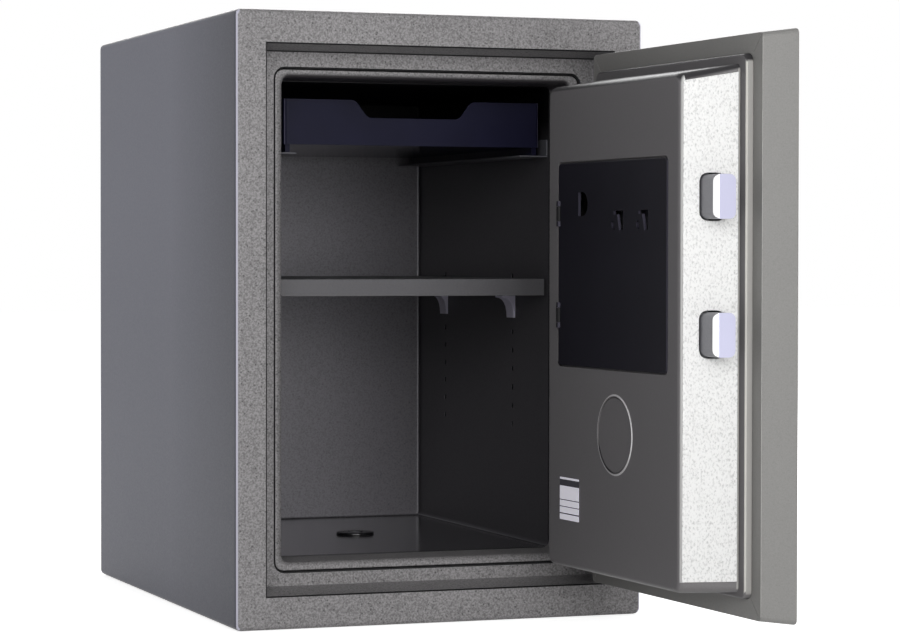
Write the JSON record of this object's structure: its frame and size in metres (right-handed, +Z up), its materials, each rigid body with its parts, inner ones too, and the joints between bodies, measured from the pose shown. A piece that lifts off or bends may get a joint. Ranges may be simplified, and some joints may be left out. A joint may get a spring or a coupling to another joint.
{
  "type": "fire-resistant cabinet safe",
  "caption": "Small insulated steel safe with its door open: stepped door with throwing bolts and a keypad lock, inner cover, adjustable shelf and pull-out tray.",
  "frame": {"origin": "middle of the cabinet's flat underside", "axes": "+Z up, the cabinet's front faces -Y, +X is the hinge side"},
  "size_m": [0.3754, 0.7746, 0.5],
  "materials": {
    "hammered_grey": "hammered grey enamel, satin",
    "door_grey": "hammered dark grey enamel, satin",
    "liner_grey": "speckled dark grey enamel",
    "cover_black": "black satin powder coat",
    "pale_hammered": "pale hammered metal",
    "bolt_steel": "ground steel, satin",
    "bright_steel": "satin nickel",
    "zinc_steel": "zinc plated",
    "insulation": "cast mineral fill, rough",
    "gasket": "black fibre strip",
    "tray_plastic": "dark blue-black moulded plastic, satin",
    "clip_plastic": "pale violet-grey moulded plastic",
    "black_plastic": "black moulded plastic",
    "button_grey": "grey rubberised plastic",
    "battery_wrap": "plain shrink wrap",
    "board": "green lacquered board",
    "tag": "blank ruled label"
  },
  "bodies": {
    "cabinet": {"outer_shell": "hammered_grey", "back_panel": "hammered_grey", "insulation_body": "insulation", "throat_gasket": "gasket", "throat_frame": "hammered_grey", "inner_liner": "liner_grey", "bolt_keeper": "zinc_steel", "anchor_sleeve": "zinc_steel", "anchor_washer": "liner_grey", "anchor_plug": "bright_steel", "tray_runner_left": "liner_grey", "tray_runner_right": "liner_grey", "shelf_clip_left_front": "clip_plastic", "shelf_clip_left_rear": "clip_plastic", "shelf_clip_right_front": "clip_plastic", "shelf_clip_right_rear": "clip_plastic", "hinge_lower_cabinet_knuckle": "hammered_grey", "hinge_upper_cabinet_knuckle": "hammered_grey", "hinge_lower_pin": "bright_steel", "hinge_upper_pin": "bright_steel", "hinge_lower_washer": "bright_steel", "hinge_upper_washer": "bright_steel"},
    "shelf_body": {"shelf": "liner_grey"},
    "tray_body": {"tray": "tray_plastic"},
    "door": {"door_outer_pan": "hammered_grey", "door_inner_pan": "door_grey", "door_insulation": "insulation", "bolt_face_plate": "pale_hammered", "blank_tag": "tag", "hinge_lower_door_knuckle": "hammered_grey", "hinge_upper_door_knuckle": "hammered_grey", "lock_plate": "zinc_steel", "solenoid_body": "zinc_steel", "battery_holder": "black_plastic", "battery": "battery_wrap", "control_board": "board", "cover_hinge_lower": "cover_black", "cover_hinge_upper": "cover_black", "keypad_housing": "black_plastic", "handle_rose": "bright_steel"},
    "cover": {"inner_cover": "cover_black"},
    "handle": {"handle_lever": "bright_steel", "lock_spindle": "bright_steel"},
    "bolts": {"bolt_bar": "zinc_steel", "bolt_lower": "bolt_steel", "bolt_upper": "bolt_steel"},
    "plunger": {"solenoid_plunger": "bright_steel"},
    "button_1": {"keypad_button_1": "button_grey"},
    "button_2": {"keypad_button_2": "button_grey"},
    "button_3": {"keypad_button_3": "button_grey"},
    "button_4": {"keypad_button_4": "button_grey"},
    "button_5": {"keypad_button_5": "button_grey"},
    "button_6": {"keypad_button_6": "button_grey"},
    "button_7": {"keypad_button_7": "button_grey"},
    "button_8": {"keypad_button_8": "button_grey"},
    "button_9": {"keypad_button_9": "button_grey"},
    "button_10": {"keypad_button_10": "button_grey"},
    "button_11": {"keypad_button_11": "button_grey"},
    "button_12": {"keypad_button_12": "button_grey"}
  },
  "joints": [
    {"name": "door_hinge", "type": "hinge", "parent": "cabinet", "child": "door", "pos_m": [0.1606, -0.237, 0.25], "axis": [0, 0, 1], "range_deg": [-92, 88]},
    {"name": "tray_slide", "type": "slide", "parent": "cabinet", "child": "tray_body", "axis": [0, -1, 0], "range_m": [0, 0.12]},
    {"name": "shelf_lift", "type": "slide", "parent": "cabinet", "child": "shelf_body", "axis": [0, 0, 1], "range_m": [0, 0.01]},
    {"name": "cover_hinge", "type": "hinge", "parent": "door", "child": "cover", "pos_m": [0.07233, -0.29942, 0.2954], "axis": [0, 0, -1], "range_deg": [0, 100]},
    {"name": "handle_turn", "type": "hinge", "parent": "door", "child": "handle", "pos_m": [0.15843, -0.46131, 0.2954], "axis": [-0.9994, -0.0349, 0], "range_deg": [0, 60]},
    {"name": "bolt_slide", "type": "slide", "parent": "door", "child": "bolts", "axis": [-0.0349, 0.9994, 0], "range_m": [0, 0.023]},
    {"name": "plunger_slide", "type": "slide", "parent": "door", "child": "plunger", "axis": [0, 0, -1], "range_m": [0, 0.004], "stiffness_N_per_m": 60, "springref_m": -0.003},
    {"name": "button_1_press", "type": "slide", "parent": "door", "child": "button_1", "axis": [-0.9994, -0.0349, 0], "range_m": [0, 0.0015], "stiffness_N_per_m": 400, "springref_m": -0.0005},
    {"name": "button_2_press", "type": "slide", "parent": "door", "child": "button_2", "axis": [-0.9994, -0.0349, 0], "range_m": [0, 0.0015], "stiffness_N_per_m": 400, "springref_m": -0.0005},
    {"name": "button_3_press", "type": "slide", "parent": "door", "child": "button_3", "axis": [-0.9994, -0.0349, 0], "range_m": [0, 0.0015], "stiffness_N_per_m": 400, "springref_m": -0.0005},
    {"name": "button_4_press", "type": "slide", "parent": "door", "child": "button_4", "axis": [-0.9994, -0.0349, 0], "range_m": [0, 0.0015], "stiffness_N_per_m": 400, "springref_m": -0.0005},
    {"name": "button_5_press", "type": "slide", "parent": "door", "child": "button_5", "axis": [-0.9994, -0.0349, 0], "range_m": [0, 0.0015], "stiffness_N_per_m": 400, "springref_m": -0.0005},
    {"name": "button_6_press", "type": "slide", "parent": "door", "child": "button_6", "axis": [-0.9994, -0.0349, 0], "range_m": [0, 0.0015], "stiffness_N_per_m": 400, "springref_m": -0.0005},
    {"name": "button_7_press", "type": "slide", "parent": "door", "child": "button_7", "axis": [-0.9994, -0.0349, 0], "range_m": [0, 0.0015], "stiffness_N_per_m": 400, "springref_m": -0.0005},
    {"name": "button_8_press", "type": "slide", "parent": "door", "child": "button_8", "axis": [-0.9994, -0.0349, 0], "range_m": [0, 0.0015], "stiffness_N_per_m": 400, "springref_m": -0.0005},
    {"name": "button_9_press", "type": "slide", "parent": "door", "child": "button_9", "axis": [-0.9994, -0.0349, 0], "range_m": [0, 0.0015], "stiffness_N_per_m": 400, "springref_m": -0.0005},
    {"name": "button_10_press", "type": "slide", "parent": "door", "child": "button_10", "axis": [-0.9994, -0.0349, 0], "range_m": [0, 0.0015], "stiffness_N_per_m": 400, "springref_m": -0.0005},
    {"name": "button_11_press", "type": "slide", "parent": "door", "child": "button_11", "axis": [-0.9994, -0.0349, 0], "range_m": [0, 0.0015], "stiffness_N_per_m": 400, "springref_m": -0.0005},
    {"name": "button_12_press", "type": "slide", "parent": "door", "child": "button_12", "axis": [-0.9994, -0.0349, 0], "range_m": [0, 0.0015], "stiffness_N_per_m": 400, "springref_m": -0.0005}
  ],
  "couplings": [
    {"joint": "bolt_slide", "follows": "handle_turn", "m_per_rad": 0.021963}
  ]
}
